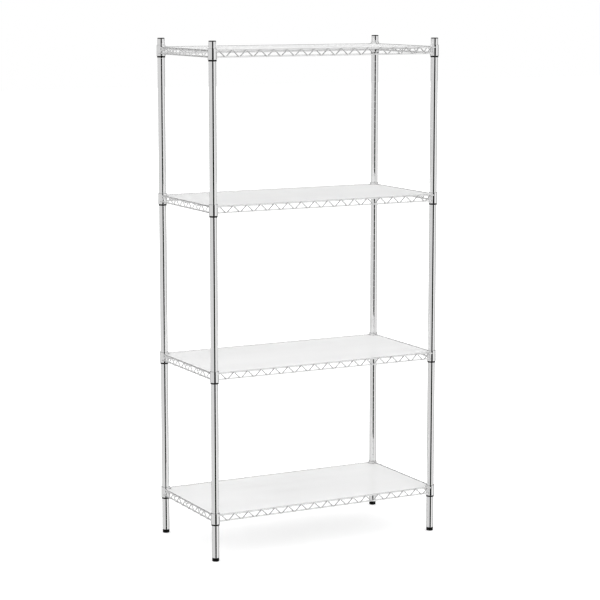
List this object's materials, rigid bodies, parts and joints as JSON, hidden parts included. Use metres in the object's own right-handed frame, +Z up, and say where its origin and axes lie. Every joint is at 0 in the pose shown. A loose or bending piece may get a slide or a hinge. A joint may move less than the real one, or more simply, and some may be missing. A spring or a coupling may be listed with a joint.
{
  "type": "wire shelving unit",
  "caption": "Free-standing wire shelving unit with round grooved posts on levelling feet and lift-off, lined wire shelves edged by zigzag trusses.",
  "frame": {"origin": "on the floor, midway between the four posts", "axes": "+Z up, +X along the shelves to the right, -Y towards the front"},
  "size_m": [0.902, 0.456, 1.797],
  "materials": {
    "chrome_tube": "bright chrome plating on steel tube",
    "chrome_wire": "bright chrome plating on drawn steel wire",
    "chrome_collar": "bright chrome plating on pressed steel",
    "black_plastic": "moulded, satin black",
    "frosted_plastic": "translucent polypropylene sheet, satin",
    "zinc_steel": "zinc-plated machine thread"
  },
  "bodies": {
    "frame": {"post_front_left": "chrome_tube", "post_front_right": "chrome_tube", "post_back_left": "chrome_tube", "post_back_right": "chrome_tube", "post_cap_front_left": "black_plastic", "post_cap_front_right": "black_plastic", "post_cap_back_left": "black_plastic", "post_cap_back_right": "black_plastic", "foot_insert_front_left": "black_plastic", "foot_insert_front_right": "black_plastic", "foot_insert_back_left": "black_plastic", "foot_insert_back_right": "black_plastic", "sleeves_1_left": "black_plastic", "sleeves_1_right": "black_plastic", "sleeves_2_left": "black_plastic", "sleeves_2_right": "black_plastic", "sleeves_3_left": "black_plastic", "sleeves_3_right": "black_plastic", "sleeves_4_left": "black_plastic", "sleeves_4_right": "black_plastic"},
    "shelf_1": {"shelf_1_collars": "chrome_collar", "shelf_1_front_truss": "chrome_wire", "shelf_1_back_truss": "chrome_wire", "shelf_1_left_truss": "chrome_wire", "shelf_1_right_truss": "chrome_wire", "shelf_1_deck_wires": "chrome_wire", "shelf_1_cross_rods": "chrome_wire", "shelf_1_liner": "frosted_plastic"},
    "shelf_2": {"shelf_2_collars": "chrome_collar", "shelf_2_front_truss": "chrome_wire", "shelf_2_back_truss": "chrome_wire", "shelf_2_left_truss": "chrome_wire", "shelf_2_right_truss": "chrome_wire", "shelf_2_deck_wires": "chrome_wire", "shelf_2_cross_rods": "chrome_wire", "shelf_2_liner": "frosted_plastic"},
    "shelf_3": {"shelf_3_collars": "chrome_collar", "shelf_3_front_truss": "chrome_wire", "shelf_3_back_truss": "chrome_wire", "shelf_3_left_truss": "chrome_wire", "shelf_3_right_truss": "chrome_wire", "shelf_3_deck_wires": "chrome_wire", "shelf_3_cross_rods": "chrome_wire", "shelf_3_liner": "frosted_plastic"},
    "shelf_4": {"shelf_4_collars": "chrome_collar", "shelf_4_front_truss": "chrome_wire", "shelf_4_back_truss": "chrome_wire", "shelf_4_left_truss": "chrome_wire", "shelf_4_right_truss": "chrome_wire", "shelf_4_deck_wires": "chrome_wire", "shelf_4_cross_rods": "chrome_wire", "shelf_4_liner": "frosted_plastic"},
    "foot_screw_front_left": {"foot_stud_front_left": "zinc_steel"},
    "foot_pad_front_left": {"foot_base_front_left": "black_plastic"},
    "foot_screw_front_right": {"foot_stud_front_right": "zinc_steel"},
    "foot_pad_front_right": {"foot_base_front_right": "black_plastic"},
    "foot_screw_back_left": {"foot_stud_back_left": "zinc_steel"},
    "foot_pad_back_left": {"foot_base_back_left": "black_plastic"},
    "foot_screw_back_right": {"foot_stud_back_right": "zinc_steel"},
    "foot_pad_back_right": {"foot_base_back_right": "black_plastic"}
  },
  "joints": [
    {"name": "shelf_1_lift", "type": "slide", "parent": "frame", "child": "shelf_1", "axis": [0, 0, 1], "range_m": [0, 0.455]},
    {"name": "shelf_2_lift", "type": "slide", "parent": "frame", "child": "shelf_2", "axis": [0, 0, 1], "range_m": [0, 0.53]},
    {"name": "shelf_3_lift", "type": "slide", "parent": "frame", "child": "shelf_3", "axis": [0, 0, 1], "range_m": [0, 0.48]},
    {"name": "shelf_4_lift", "type": "slide", "parent": "frame", "child": "shelf_4", "axis": [0, 0, 1], "range_m": [0, 0.08]},
    {"name": "foot_height_front_left", "type": "slide", "parent": "frame", "child": "foot_screw_front_left", "axis": [0, 0, -1], "range_m": [0, 0.015]},
    {"name": "foot_turn_front_left", "type": "hinge", "parent": "foot_screw_front_left", "child": "foot_pad_front_left", "pos_m": [-0.435, -0.212, 0.0056], "axis": [0, 0, -1], "range_deg": [0, 3600]},
    {"name": "foot_height_front_right", "type": "slide", "parent": "frame", "child": "foot_screw_front_right", "axis": [0, 0, -1], "range_m": [0, 0.015]},
    {"name": "foot_turn_front_right", "type": "hinge", "parent": "foot_screw_front_right", "child": "foot_pad_front_right", "pos_m": [0.435, -0.212, 0.0056], "axis": [0, 0, -1], "range_deg": [0, 3600]},
    {"name": "foot_height_back_left", "type": "slide", "parent": "frame", "child": "foot_screw_back_left", "axis": [0, 0, -1], "range_m": [0, 0.015]},
    {"name": "foot_turn_back_left", "type": "hinge", "parent": "foot_screw_back_left", "child": "foot_pad_back_left", "pos_m": [-0.435, 0.212, 0.0056], "axis": [0, 0, -1], "range_deg": [0, 3600]},
    {"name": "foot_height_back_right", "type": "slide", "parent": "frame", "child": "foot_screw_back_right", "axis": [0, 0, -1], "range_m": [0, 0.015]},
    {"name": "foot_turn_back_right", "type": "hinge", "parent": "foot_screw_back_right", "child": "foot_pad_back_right", "pos_m": [0.435, 0.212, 0.0056], "axis": [0, 0, -1], "range_deg": [0, 3600]}
  ],
  "couplings": [
    {"joint": "foot_turn_front_left", "follows": "foot_height_front_left", "rad_per_m": 4188.8},
    {"joint": "foot_turn_front_right", "follows": "foot_height_front_right", "rad_per_m": 4188.8},
    {"joint": "foot_turn_back_left", "follows": "foot_height_back_left", "rad_per_m": 4188.8},
    {"joint": "foot_turn_back_right", "follows": "foot_height_back_right", "rad_per_m": 4188.8}
  ]
}
